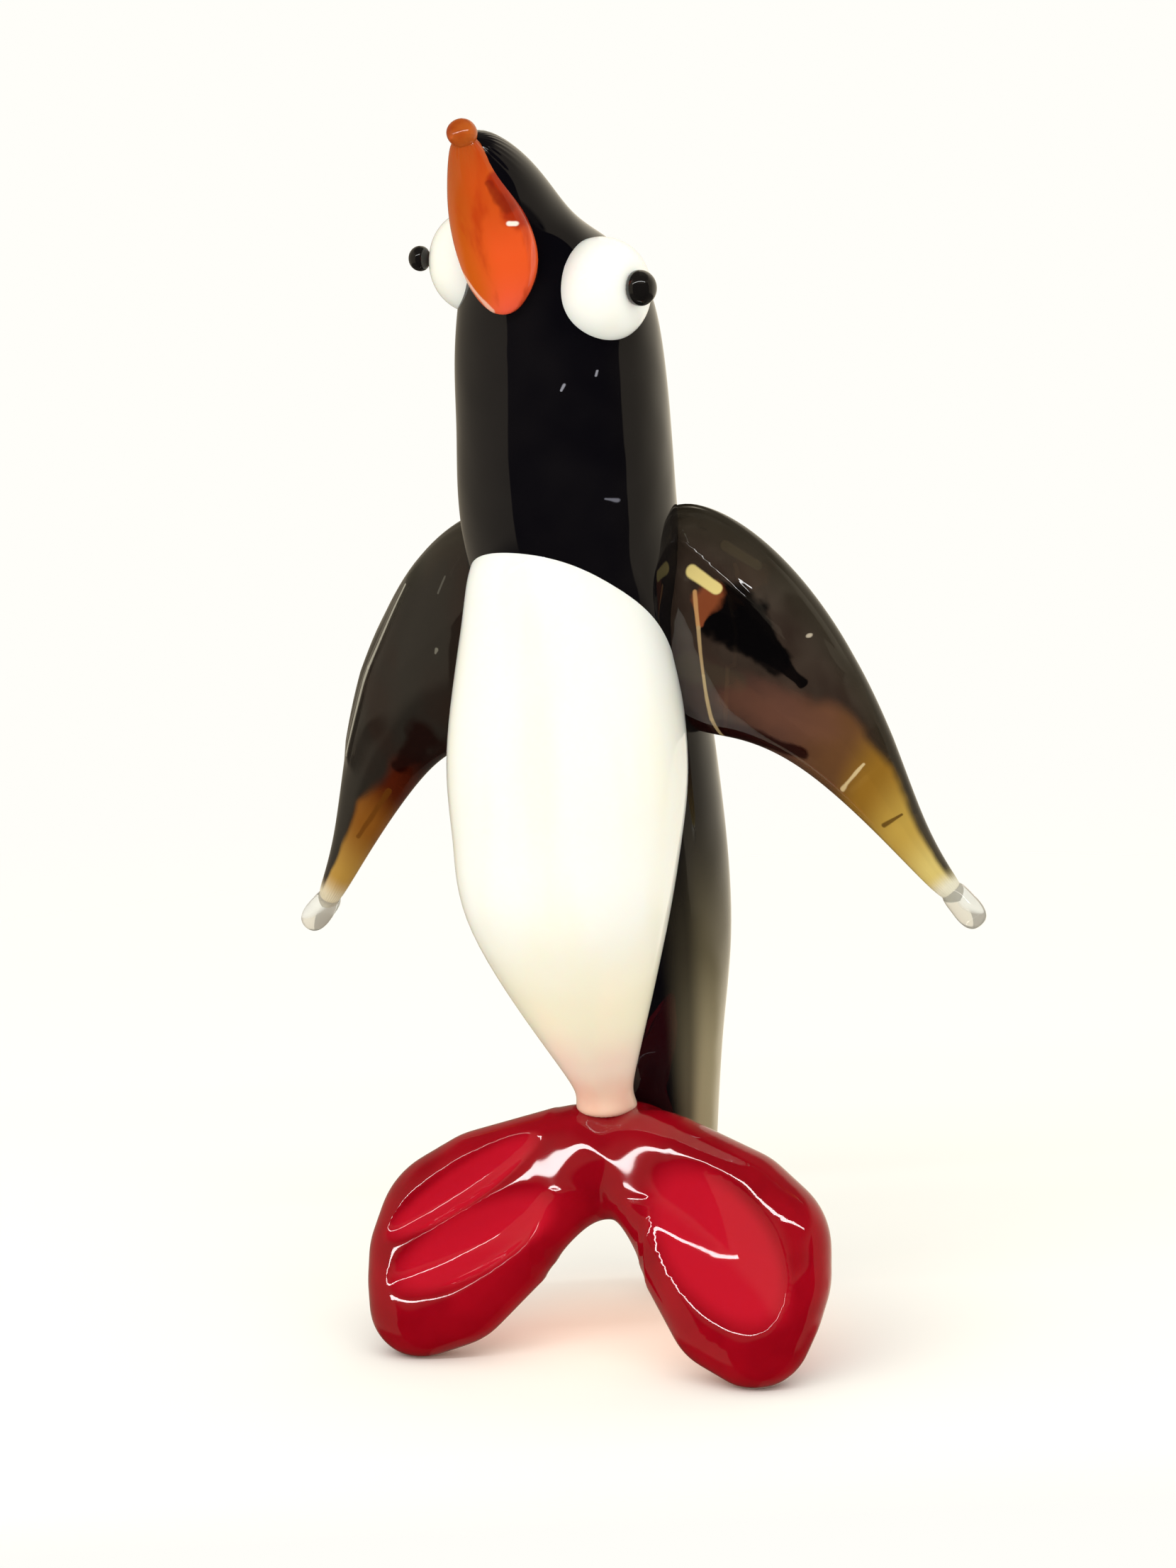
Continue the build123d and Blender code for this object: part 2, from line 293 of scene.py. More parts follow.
def newGlass(name, roughness, ripple, **sockets):
    # every glass has a hand-drawn ripple and a gloss that varies a little
    material = bpy.data.materials.new(name)
    material.use_nodes = True
    tree = material.node_tree
    shader = tree.nodes["Principled BSDF"]
    for key, value in sockets.items():
        shader.inputs[key.replace("_", " ")].default_value = value
    shiny, dull = (roughness * share for share in handDrawn["glossShares"])
    gloss = mapRange(tree, noiseAt(tree, handDrawn["glossScale"]), noiseLow, noiseHigh, shiny, dull)
    tree.links.new(gloss, shader.inputs["Roughness"])
    wave = noiseAt(tree, handDrawn["rippleScale"], detail=1.0)
    bump = addNode(tree, "Bump", {"Height": wave, "Distance": ripple * mm, "Strength": 1.0})
    tree.links.new(bump.outputs["Normal"], shader.inputs["Normal"])
    return material, tree, shader


# Head turned to its right
headTurn = math.radians(7)


def headPoint(sideways, reach, height):
    x = sideways * math.cos(headTurn) - reach * math.sin(headTurn)
    y = -sideways * math.sin(headTurn) - reach * math.cos(headTurn)
    return x, y, height


def headRing(height, reach, width, depth, lean):
    return (*headPoint(0, reach, height), width, depth, lean)


# Black gather from the tail to the upper beak
blackGather = {
    # x, y, z, width, depth, lean
    "rings": [
        (0, 10.8, 0.05, 3.2, 2.8, 0),
        (0, 9.4, 4.5, 4.4, 4.1, 4),
        (0, 7.3, 11, 7.2, 6.6, 8),
        (0, 5.5, 17, 10.0, 8.8, 6),
        (0, 4.3, 23, 12.4, 10.7, 4),
        (0, 3.3, 30.5, 12.8, 11.4, 3),
        (0, 2.3, 38, 12.1, 11.2, 4),
        (0, 0.8, 43.5, 11.8, 11.5, 6),
        (0, 0, 48, 11.9, 11.9, 0),
        (0, 0, 52, 11.7, 11.7, 0),
        headRing(56, 0.13, 11.4, 11.2, 6),
        headRing(59.6, 0.65, 10.2, 9.4, 18),
        headRing(61.8, 2.2, 7.3, 6.8, 28),
        headRing(63.6, 3.3, 5.3, 5.0, 38),
        headRing(66.0, 5.6, 4.5, 4.5, 44),
        headRing(68.6, 7.95, 2.2, 2.2, 45),
    ],
    "mottle": (180, (8, 7, 11), (17, 15, 17)),
    # heights where the painted olive light begins and is full, and half the width at the tail and at the
    # back
    "oliveHeights": (36, 10),
    "tailHalf": 1.7,
    "backHalf": 6.2,
    "backHeight": 26,
    "oliveEdge": [(0.66, 0.0), (0.86, 0.3), (0.98, 1.0)],
    "olive": [(0.0, (44, 40, 30)), (0.5, (92, 84, 64)), (1.0, (158, 147, 116))],
    "oliveStrengths": (0.15, 1.0),
    "oliveFull": 0.7,
    "specks": [
        ((150, 150, 160), 0.8, (2.5, 54.75), (2.65, 55.05), 0.05, 0.07, 0.5, 0.3),
        ((150, 150, 160), 0.8, (4.05, 55.4), (4.1, 55.65), 0.06, 0.05, 0.5, 0.3),
        ((110, 110, 120), 0.8, (4.3, 48.75), (4.75, 48.6), 0.05, 0.1, 0.5, 0.3),
    ],
}


def makeBlackGlass():
    # nearly opaque, with olive light painted along the thin edges of the lower back
    material, tree, shader = newGlass("blackGlass", roughness=0.03, ripple=0.12, IOR=1.52)
    colour = addMottle(tree, *blackGather["mottle"])
    height = objectPart(tree, "Z")
    oliveTop, oliveBottom = blackGather["oliveHeights"]
    low = mapRange(tree, height, oliveTop * mm, oliveBottom * mm)
    side = addNode(tree, "Math", {0: objectPart(tree, "X")}, operation="ABSOLUTE").outputs["Value"]
    halfWidth = mapRange(tree, height, 0.0, blackGather["backHeight"] * mm,
                         blackGather["tailHalf"] * mm, blackGather["backHalf"] * mm)
    # painted olive light: strongest low on the back and at its thin side edges
    edge = addLevels(tree, combine(tree, "DIVIDE", side, halfWidth), blackGather["oliveEdge"])
    strength = mapRange(tree, low, 0.0, blackGather["oliveFull"], *blackGather["oliveStrengths"])
    thin = combine(tree, "MULTIPLY", edge, strength)
    colour = mixColours(tree, thin, colour, addColours(tree, low, blackGather["olive"]))
    colour = paintStreaksAndLight(tree, colour, blackGather["specks"])
    tree.links.new(colour, shader.inputs["Base Color"])
    return material


blackGlass = makeBlackGlass()
body = drawGather("body_glass", blackGather["rings"], segments=32)
addPiece(body, blackGlass, "black_glass", "body")

# White teardrop belly
whiteBelly = {
    # x, y, z, width, depth, lean
    "rings": [
        (0, 1.0, 12.9, 2.6, 2.6, 0),
        (0, 0.95, 13.4, 3.4, 3.4, 0),
        (0, 0.7, 14.4, 3.3, 3.3, 0),
        (0, -0.4, 17.5, 5.6, 5.6, 0),
        (0, -2.5, 24.5, 10.9, 10.4, 0),
        (0, -2.2, 29.5, 12.8, 12.0, 0),
        (0, -1.7, 34.5, 13.4, 12.4, 0),
        (-0.1, -1.0, 41.0, 11.3, 12.0, 0),
        (-0.25, -1.2, 44.0, 9.7, 10.5, 0),
        (-0.25, -1.5, 46.0, 7.8, 8.2, 0),
        (-0.2, -1.6, 47.3, 5.2, 5.0, 0),
    ],
    "tintHeights": (12.5, 30),
    # from the stem up: pink painted for light from the red feet showing through, then cream, then white
    "tint": [(0.0, (246, 196, 172)), (0.12, (250, 226, 208)), (0.35, (252, 245, 218)),
             (1.0, (251, 251, 243))],
    "veins": {"scale": 120, "stretch": (2.2, 2.2, 0.35), "detail": 2.0, "range": (0.45, 0.75),
              "strength": 0.45, "colour": (251, 246, 220)},
}


def makeWhiteGlass():
    # milky, a little yellow in veins, and pink painted low on its stem as light from the red feet showing
    # through
    material, tree, shader = newGlass("whiteGlass", roughness=0.05, ripple=0.1, IOR=1.5,
                                      Subsurface_Weight=0.15, Subsurface_Scale=0.0015)
    bottom, top = whiteBelly["tintHeights"]
    rise = mapRange(tree, objectPart(tree, "Z"), bottom * mm, top * mm)
    colour = addVeins(tree, addColours(tree, rise, whiteBelly["tint"]), whiteBelly["veins"])
    tree.links.new(colour, shader.inputs["Base Color"])
    return material


whiteGlass = makeWhiteGlass()
belly = drawGather("belly_glass", whiteBelly["rings"], segments=32)
addPiece(belly, whiteGlass, "white_glass", "belly")

# Orange lower beak and the bead at its tip
beak = {
    "leaf": [
        headRing(58.8, 5.2, 1.2, 0.8, 18),
        headRing(60.0, 5.3, 3.2, 2.0, 18),
        headRing(61.8, 5.5, 4.5, 3.0, 18),
        headRing(64.2, 6.4, 4.3, 2.9, 20),
        headRing(66.6, 7.5, 2.9, 2.3, 22),
        headRing(68.9, 8.4, 1.3, 1.2, 30),
    ],
    "bead": [
        headRing(68.4, 7.85, 0.9, 0.9, 44),
        headRing(68.6, 8.05, 1.4, 1.4, 44),
        headRing(68.9, 8.35, 1.6, 1.6, 44),
        headRing(69.2, 8.65, 1.3, 1.3, 44),
        headRing(69.37, 8.8, 0.45, 0.45, 44),
    ],
    # colours from the throat to the tip, coral on its left side and warmer on its right
    "coral": [(0.0, (248, 98, 70)), (0.45, (234, 90, 38)), (0.75, (202, 80, 24)), (1.0, (178, 78, 26))],
    "warm": [(0.0, (240, 98, 56)), (0.3, (206, 92, 18)), (1.0, (174, 78, 20))],
    "turnsWarm": (0.45, -0.55),
    "veins": {"scale": 420, "stretch": (1.8, 1.8, 0.35), "detail": 3.0, "range": (0.5, 0.72),
              "strength": 0.8, "colour": (186, 58, 16)},
    "streaksAndLight": [
        ((150, 26, 12), 0.75, (1.5, 64.4), (0.6, 66.4), 0.75, 0.35),
        ((120, 30, 14), 0.6, (0.3, 66.2), (0.9, 64.8), 0.15, 0.3),
        # painted light along the thin lower left edge
        ((255, 212, 188), 0.7, (-2.75, 61.4), (-1.1, 59.1), 0.1, 0.16),
        # a painted highlight of the lamp
        ((255, 240, 226), 1.0, (0.95, 63.95), (1.15, 63.92), 0.13, 0.12),
    ],
    "beadMottle": (700, (198, 78, 18), (230, 116, 44)),
}


def makeOrangeGlass():
    material, tree, shader = newGlass("orangeGlass", roughness=0.05, ripple=0.12, IOR=1.5,
                                      Subsurface_Weight=0.2, Subsurface_Scale=0.001)
    along, across = pieceMark(tree, "along"), pieceMark(tree, "across")
    coral = addColours(tree, along, beak["coral"])
    warm = addColours(tree, along, beak["warm"])
    colour = mixColours(tree, mapRange(tree, across, *beak["turnsWarm"]), coral, warm)
    colour = addVeins(tree, colour, beak["veins"])
    colour = paintStreaksAndLight(tree, colour, beak["streaksAndLight"])
    tree.links.new(colour, shader.inputs["Base Color"])
    return material


def makeAmberGlass():
    material, tree, shader = newGlass("amberGlass", roughness=0.03, ripple=0.08, IOR=1.5,
                                      Transmission_Weight=0.5)
    tree.links.new(addMottle(tree, *beak["beadMottle"]), shader.inputs["Base Color"])
    return material


lowerBeak = drawGather("lower_beak_glass", beak["leaf"], segments=24)
addPiece(lowerBeak, makeOrangeGlass(), "orange_glass", "lower_beak")
beakBead = drawGather("beak_bead_glass", beak["bead"], segments=20)
addPiece(beakBead, makeAmberGlass(), "amber_glass", "beak_bead")

# Eyes and pupils, beads drawn outwards from the sides of the head
eyes = {
    "spacing": 7.9,
    "reach": 1.6,
    # distance outwards from the middle of the bead, diameter
    "profile": [(-2.4, 2.6), (-1.4, 4.9), (0, 5.7), (1.3, 5.1), (2.2, 3.6), (2.75, 1.5)],
    # the same for a pupil, as shares of its diameter
    "pupilProfile": [(-0.35, 0.75), (-0.1, 1.0), (0.2, 0.95), (0.42, 0.6), (0.5, 0.2)],
    "pupilDistance": 3.1,
    "pupilLift": 0.3,
    # side, height of the eye, pupil diameter, pupil's angle forwards
    "left": (1, 59.75, 1.9, 17),
    "right": (-1, 61.1, 1.35, 30),
}


def drawBead(name, side, centre, profile, segments):
    sideways, reach, level = centre
    rings = []
    for outwards, diameter in profile:
        x, y, z = headPoint(side * (sideways + outwards), reach, level)
        rings.append((x, y, z, diameter, diameter, 90 * side))
    return drawGather(name, rings, segments=segments, axis="Y")


for sideName in ("left", "right"):
    side, level, pupilSize, pupilAngle = eyes[sideName]
    middle = (eyes["spacing"] / 2, eyes["reach"], level)
    eye = drawBead(sideName + "_eye_glass", side, middle, eyes["profile"], segments=32)
    addPiece(eye, whiteGlass, "white_glass", sideName + "_eye")
    forwards = math.radians(pupilAngle)
    spot = (middle[0] + eyes["pupilDistance"] * math.cos(forwards),
            middle[1] + eyes["pupilDistance"] * math.sin(forwards), level + eyes["pupilLift"])
    pupilProfile = [(share * pupilSize, width * pupilSize) for share, width in eyes["pupilProfile"]]
    pupil = drawBead(sideName + "_pupil_glass", side, spot, pupilProfile, segments=20)
    addPiece(pupil, blackGlass, "black_glass", sideName + "_pupil")
print("body and head ready")

# Wings: a leaf with a dark top and an amber lining, and a clear bead at its end
wing = {
    "rootHeight": 40.8,
    "droop": {"left": 0, "right": 2.4},
    # span, setback, drop, chord, thickness, lean
    "rings": [
        (3.0, 2.5, -0.8, 14.0, 4.8, 0),
        (9.0, 2.6, 0.6, 11.8, 4.6, 7),
        (13.8, 3.7, 5.4, 7.2, 3.5, 30),
        (17.3, 4.9, 11.9, 2.6, 2.1, 58),
        (19.9, 5.8, 15.8, 1.5, 1.4, 48),
    ],
    # distance past the end, diameter
    "bead": [(-1.2, 0.9), (-0.7, 1.4), (0.0, 1.55), (0.7, 1.6), (1.35, 1.25), (1.65, 0.45)],
    # how far along the wing its upper edge leans back, by how much and how widely
    "topLean": {"left": (0.5, (-0.7, 1.35, -0.35), 5.0), "right": (0.4, (-0.3, 0.8, -0.2), 4.0)},
    "topEdge": 0.96,  # from here up the section is its upper edge
    # path, height and reach of the pinched ridge on the front, and how near the path it is pinched
    "ridge": {
        "left": ([(4.4, 0.6, 47.0), (7.65, 0.6, 44.5), (10.0, 0.64, 42.2), (11.64, 0.96, 40.1),
                  (12.86, 1.44, 37.5)], 0.4, 1.2),
        "right": ([(-11.0, 1.5, 43.0), (-13.9, 1.8, 37.7), (-16.2, 3.0, 32.3)], 0.35, 1.4),
    },
    "ridgeLine": 0.16,
    # how far up the leaf the lining shows, along the wing, and how wavy and soft the seam is
    "seam": {
        "left": [(0.0, 0.42), (0.3, 0.4), (0.45, 0.55), (0.56, 0.8), (0.64, 0.91), (1.0, 0.95)],
        "right": [(0.0, 0.02), (0.36, 0.05), (0.52, 0.24), (0.66, 0.46), (1.0, 0.72)],
    },
    "seamWave": 0.04,
    "seamWaveScale": 350,
    "seamSoftness": 0.07,
    "darkEnds": (0.98, 0.88),  # the dark top is gone at the first and full at the second, along the wing
    # the top's own brown, which on the left wing also carries a painted pale sheen
    "top": {"left": (72, 61, 52), "right": (42, 38, 33)},
    "topVeins": {"scale": 240, "stretch": (1, 1, 0.6), "detail": 3.0, "range": (0.38, 0.66),
                 "strength": 0.8, "colour": (46, 33, 27)},
    "rim": {"range": (0.78, 1.0), "strength": 0.7, "colour": (48, 45, 34)},
    # the lining's amber along the wing, painted paler towards the end for light coming through the
    # thinning glass
    "lining": {
        "left": [(0.0, (40, 28, 26)), (0.25, (66, 48, 42)), (0.4, (98, 66, 54)), (0.55, (110, 74, 46)),
                 (0.63, (158, 114, 40)), (0.74, (206, 170, 80)), (0.88, (234, 210, 126)),
                 (0.97, (252, 246, 222))],
        "right": [(0.0, (28, 18, 15)), (0.4, (32, 7, 5)), (0.54, (86, 30, 12)), (0.66, (152, 94, 34)),
                  (0.84, (206, 160, 76)), (0.97, (246, 232, 200))],
    },
    "streaksAndLight": {
        "left": [
            # painted dark reflection: the black tongue below the crease, in two parts
            ((7, 6, 7), 0.97, (8.9, 41.9), (12.7, 37.8), 1.5, 0.25, 0.15, 0.15),
            ((7, 6, 7), 0.9, (8.6, 41.6), (11.4, 38.9), 1.0, 0.7, 0.2, 0.2),
            # painted reflection of the belly
            ((70, 62, 49), 0.6, (6.6, 38.7), (9.4, 38.0), 0.8, 0.5),
            ((116, 76, 60), 0.5, (9.2, 36.9), (13.4, 35.4), 0.9, 1.0, 0.8),
            ((34, 5, 5), 0.95, (8.0, 35.1), (12.4, 33.8), 0.7, 0.35),
            ((30, 5, 5), 0.9, (6.2, 36.0), (6.9, 34.9), 0.55, 0.5),
            # painted light coming through the glass: the funnel, the bright spot and the thread below it
            ((150, 78, 46), 0.85, (7.9, 42.6), (7.55, 41.2), 0.8, 0.15),
            ((255, 232, 150), 1.0, (6.85, 43.95), (8.25, 43.05), 0.36, 0.32, 0.2, 0.05),
            ((214, 160, 104), 0.9, (7.1, 42.9), (7.43, 41.0), 0.11, 0.1, 0.4, 0.1),
            ((196, 166, 120), 0.9, (7.43, 41.0), (7.5, 38.3), 0.1, 0.09, 0.4, 0.1),
            ((206, 180, 132), 0.9, (7.5, 38.3), (7.5, 35.7), 0.09, 0.12, 0.4, 0.1),
            ((206, 180, 132), 0.8, (7.5, 35.7), (7.7, 34.6), 0.12, 0.1, 0.4, 0.1),
            ((240, 214, 160), 0.9, (14.3, 31.7), (15.7, 33.2), 0.12, 0.07, 0.5, 0.35),
            ((88, 58, 22), 0.85, (16.4, 29.65), (17.4, 30.26), 0.13, 0.07, 0.4, 0.1),
            # painted highlight along the outer upper edge
            ((170, 160, 128), 0.8, (13.0, 41.6), (14.7, 38.6), 0.07, 0.09, 0.5, 0.2),
            ((214, 200, 176), 0.9, (12.7, 40.2), (12.74, 40.2), 0.1, 0.1, 0.4, 0.1),
        ],
        "right": [
            ((26, 4, 3), 0.9, (-10.4, 34.0), (-12.6, 31.9), 0.9, 0.4),
            ((112, 66, 20), 0.7, (-13.6, 30.4), (-16.2, 27.4), 0.16, 0.1),
            ((110, 106, 96), 0.6, (-8.3, 43.2), (-8.7, 42.3), 0.05, 0.07),
            ((140, 136, 122), 0.7, (-8.7, 39.2), (-8.8, 39.0), 0.1, 0.06),
            # painted highlight along the ridge of the far wing, in two parts
            ((196, 190, 172), 0.8, (-11.3, 42.5), (-13.9, 37.7), 0.06, 0.09, 0.4, 0.1),
            ((196, 190, 172), 0.8, (-13.9, 37.7), (-16.2, 32.3), 0.09, 0.06, 0.4, 0.1),
        ],
    },
    "beadMottle": (600, (250, 250, 244), (255, 255, 252)),
}


def makeBrownGlass(sideName):
    # dark over the top of the wing, amber where it thins towards its end, painted paler there for light
    # coming through the thin glass
    material, tree, shader = newGlass(sideName + "BrownGlass", roughness=0.03, ripple=0.04, IOR=1.5,
                                      Transmission_Weight=0.3)
    along, across = pieceMark(tree, "along"), pieceMark(tree, "across")
    level = addNode(tree, "Math", {0: across, 1: 0.5, 2: 0.5}, operation="MULTIPLY_ADD").outputs["Value"]
    wave, softness = wing["seamWave"], wing["seamSoftness"]
    uneven = mapRange(tree, noiseAt(tree, wing["seamWaveScale"]), noiseLow, noiseHigh, -wave, wave)
    seam = addLevels(tree, along, wing["seam"][sideName])
    aboveSeam = combine(tree, "SUBTRACT", combine(tree, "ADD", level, uneven), seam)
    dark = mapRange(tree, aboveSeam, -softness, softness)
    dark = combine(tree, "MULTIPLY", dark, mapRange(tree, along, *wing["darkEnds"]))
    top = addVeins(tree, shade(*wing["top"][sideName]), wing["topVeins"])
    rim = mapRange(tree, level, *wing["rim"]["range"], 0.0, wing["rim"]["strength"])
    top = mixColours(tree, rim, top, shade(*wing["rim"]["colour"]))
    colour = mixColours(tree, dark, addColours(tree, along, wing["lining"][sideName]), top)
    colour = paintStreaksAndLight(tree, colour, wing["streaksAndLight"][sideName])
    tree.links.new(colour, shader.inputs["Base Color"])
    return material


def makeClearGlass():
    material, tree, shader = newGlass("clearGlass", roughness=0.02, ripple=0.08, IOR=1.5,
                                      Transmission_Weight=0.8)
    tree.links.new(addMottle(tree, *wing["beadMottle"]), shader.inputs["Base Color"])
    return material


def wingRing(side, droop, span, setback, drop, chord, thickness, lean):
    height = wing["rootHeight"] - drop - droop * span / wing["rings"][-1][0]
    return (side * span, setback, height, chord, thickness, side * (90 + lean))


def leanTopBack(leaf, length, shift, reach):
    # draw back the upper edge over the first part of the wing
    def isTopEdge(vertex, marks):
        return vertex[marks["along"]] < length and vertex[marks["across"]] > wing["topEdge"]

    selectSkin(leaf, isTopEdge)
    pullSelected(shift, "LINEAR", reach)


def raiseRidge(leaf, path, height, reach):
    # pinch the front of the wing into a ridge along a path
    points = [placeOf(point) for point in path]

    def isOnPath(vertex, marks):
        if vertex[marks["front"]] < 0:
            return False
        for start, end in zip(points, points[1:]):
            run = end - start
            share = min(max((vertex.co - start).dot(run) / run.length_squared, 0), 1)
            away = vertex.co - start - run * share
            if math.hypot(away.x, away.z) < wing["ridgeLine"] * mm:
                return True
        return False

    selectSkin(leaf, isOnPath)
    pullSelected((0, -height, 0), "SHARP", reach)


clearGlass = makeClearGlass()
for sideName, side in (("left", 1), ("right", -1)):
    droop = wing["droop"][sideName]
    rings = [wingRing(side, droop, *ring) for ring in wing["rings"]]
    leaf = drawGather(sideName + "_wing_glass", rings, segments=32, levels=4, axis="Y", upSign=-side)
    leanTopBack(leaf, *wing["topLean"][sideName])
    raiseRidge(leaf, *wing["ridge"][sideName])
    brownGlass = makeBrownGlass(sideName)
    addPiece(leaf, brownGlass, "brown_glass", sideName + "_wing_blade", sideName + "_wing_lining")
    endX, endY, endZ, _, _, endLean = rings[-1]
    slope = math.radians(abs(endLean) - 90)
    beadRings = []
    for past, diameter in wing["bead"]:
        x = endX + side * past * math.cos(slope)
        beadRings.append((x, endY, endZ - past * math.sin(slope), diameter, diameter, endLean))
    bead = drawGather(sideName + "_wing_bead_glass", beadRings, segments=20, axis="Y")
    addPiece(bead, clearGlass, "clear_glass", sideName + "_wing_bead")
print("wings ready")

# Red feet: two pressed paddles and the bar between them, melted into one
feet = {
    "offset": 0.9,
    "heelPlace": (1.5, 13.5),
    "slope": 60,
    # span, drop, radius of the rounds that the outline wraps
    "rounds": [(2.2, 3.6, 3.4), (5.2, 5.6, 4.2), (7.3, 6.7, 4.65), (9.0, 8.0, 4.75), (9.5, 9.4, 4.5),
               (9.8, 10.8, 4.0), (8.7, 10.8, 4.0), (10.2, 12.3, 3.2)],
    "thickness": 3.9,
    "edge": 1.9,
    # span, drop, length, width, depth, angle of the ovals pressed into the left (1) and right (-1) foot
    "presses": {
        1: [(7.9, 8.2, 11.6, 5.9, 0.9, 43)],
        -1: [(8.2, 6.0, 10.4, 2.4, 0.7, 38), (6.9, 9.1, 10.6, 3.9, 0.9, 32)],
    },
    "bar": [(-3.0, 4.4), (-1.6, 5.9), (0, 6.6), (1.6, 5.9), (3.0, 4.4)],  # sideways, diameter
    "barPlace": (1.7, 10.2),
    "voxel": 0.16,
    "smoothing": 20,
    # corners of the places where the glass has run together, and how often they are smoothed
    "melts": [
        ((-2.6, -9, 3.5), (4.4, 9, 9.0), 200),
        ((-2.0, -9, 4.5), (3.8, 9, 8.5), 200),
        ((-3.0, -9, 9.5), (4.8, 9, 20), 60),
    ],
    "mottle": (260, (148, 6, 22), (168, 10, 28)),
    # painted lighter red in the pressed ovals, for light through the thin glass and a pale reflection
    "pressLightColour": (208, 24, 46),
    "pressFade": (1.25, 0.55),  # squared distance from the middle, where the rim of the oval is 1
}


def makeRedGlass():
    # clear red, painted lighter where the pressed oval is thin, for light through the thin glass and a
    # pale reflection
    material, tree, shader = newGlass("redGlass", roughness=0.03, ripple=0.05, IOR=1.52,
                                      Transmission_Weight=0.2, Subsurface_Weight=0.3,
                                      Subsurface_Scale=0.002)
    colour = addMottle(tree, *feet["mottle"])
    heelBack, heelHeight = feet["heelPlace"]
    slope = math.radians(feet["slope"])
    down = Vector((0, -math.cos(slope), -math.sin(slope)))
    for side, presses in feet["presses"].items():
        for span, drop, length, width, depth, turn in presses:
            angle = math.radians(turn)
            middle = placeOf((feet["offset"] + side * span, heelBack, heelHeight)) + down * drop * mm
            longWay = Vector((side * math.cos(angle), 0, 0)) + down * math.sin(angle)
            wideWay = Vector((-side * math.sin(angle), 0, 0)) + down * math.cos(angle)
            away = combineVectors(tree, "SUBTRACT", objectPlace(tree), middle)["Vector"]
            long = combineVectors(tree, "DOT_PRODUCT", away, longWay / (length * mm / 2))["Value"]
            wide = combineVectors(tree, "DOT_PRODUCT", away, wideWay / (width * mm / 2))["Value"]
            longSquare, wideSquare = combine(tree, "POWER", long, 2.0), combine(tree, "POWER", wide, 2.0)
            mask = mapRange(tree, combine(tree, "ADD", longSquare, wideSquare), *feet["pressFade"])
            colour = mixColours(tree, mask, colour, shade(*feet["pressLightColour"]))
    tree.links.new(colour, shader.inputs["Base Color"])
    return material


def drawPaddle(side):
    # thick rings of glass wrapped in one hull, flat for now
    edge, half = feet["edge"], feet["thickness"] / 2
    bpy.ops.object.select_all(action="DESELECT")
    for number, (span, drop, radius) in enumerate(feet["rounds"]):
        bpy.ops.mesh.primitive_torus_add(location=(side * span * mm, -drop * mm, 0),
                                         major_radius=(radius - edge) * mm, minor_radius=edge * mm,
                                         major_segments=64, minor_segments=24)
        if number == 0:
            paddle = bpy.context.object
            bpy.ops.object.transform_apply(location=True)
            bpy.ops.object.mode_set(mode="EDIT")
    bpy.ops.mesh.select_all(action="SELECT")
    bpy.ops.transform.resize(value=(1, 1, half / edge), center_override=(0, 0, 0))
    bpy.ops.mesh.convex_hull()
    bpy.ops.object.mode_set(mode="OBJECT")
    return paddle


def pressPaddle(paddle, side, span, drop, length, width, depth, turn):
    # a round-ended tool sinks an oval into the front of the foot
    radius = (width ** 2 / 4 + depth ** 2) / (2 * depth)
    share = math.sqrt(1 - ((radius - depth) / radius) ** 2)
    lift = feet["thickness"] / 2 + radius - depth
    place = (side * span * mm, -drop * mm, lift * mm)
    bpy.ops.object.select_all(action="DESELECT")
    bpy.ops.mesh.primitive_uv_sphere_add(segments=96, ring_count=64, radius=radius * mm, location=place)
    tool = bpy.context.object
    bpy.ops.object.transform_apply(location=True)
    bpy.ops.object.mode_set(mode="EDIT")
    stretch = length / share / (2 * radius)
    bpy.ops.transform.resize(value=(stretch, 1, 1), center_override=place)
    turnSelected(-side * turn, "Z", place)
    bpy.ops.object.mode_set(mode="OBJECT")
    applyModifier(paddle, "BOOLEAN", operation="DIFFERENCE", object=tool, solver="EXACT")
    bpy.data.objects.remove(tool)


def cutFlat(obj):
    # flat where it stands
    pickOnly(obj)
    bpy.ops.object.mode_set(mode="EDIT")
    bpy.ops.mesh.select_all(action="SELECT")
    bpy.ops.mesh.bisect(plane_co=(0, 0, 0), plane_no=(0, 0, 1), use_fill=True, clear_inner=True,
                        threshold=finest)
    bpy.ops.object.mode_set(mode="OBJECT")


def standPaddle(paddle):
    # tip the paddle up onto its toe
    pickOnly(paddle)
    bpy.ops.object.mode_set(mode="EDIT")
    bpy.ops.mesh.select_all(action="SELECT")
    turnSelected(feet["slope"], "X", (0, 0, 0))
    heelBack, heelHeight = feet["heelPlace"]
    bpy.ops.transform.translate(value=placeOf((feet["offset"], heelBack, heelHeight)))
    bpy.ops.object.mode_set(mode="OBJECT")
    cutFlat(paddle)


def meltPart(obj, low, high, repeat):
    # let the glass between two corners run together
    lowest, highest = placeOf(low), placeOf(high)

    def isBetween(vertex, marks):
        return all(a < b < c for a, b, c in zip(lowest, vertex.co, highest))

    selectSkin(obj, isBetween)
    bpy.ops.mesh.vertices_smooth(factor=0.5, repeat=repeat)
    bpy.ops.object.mode_set(mode="OBJECT")


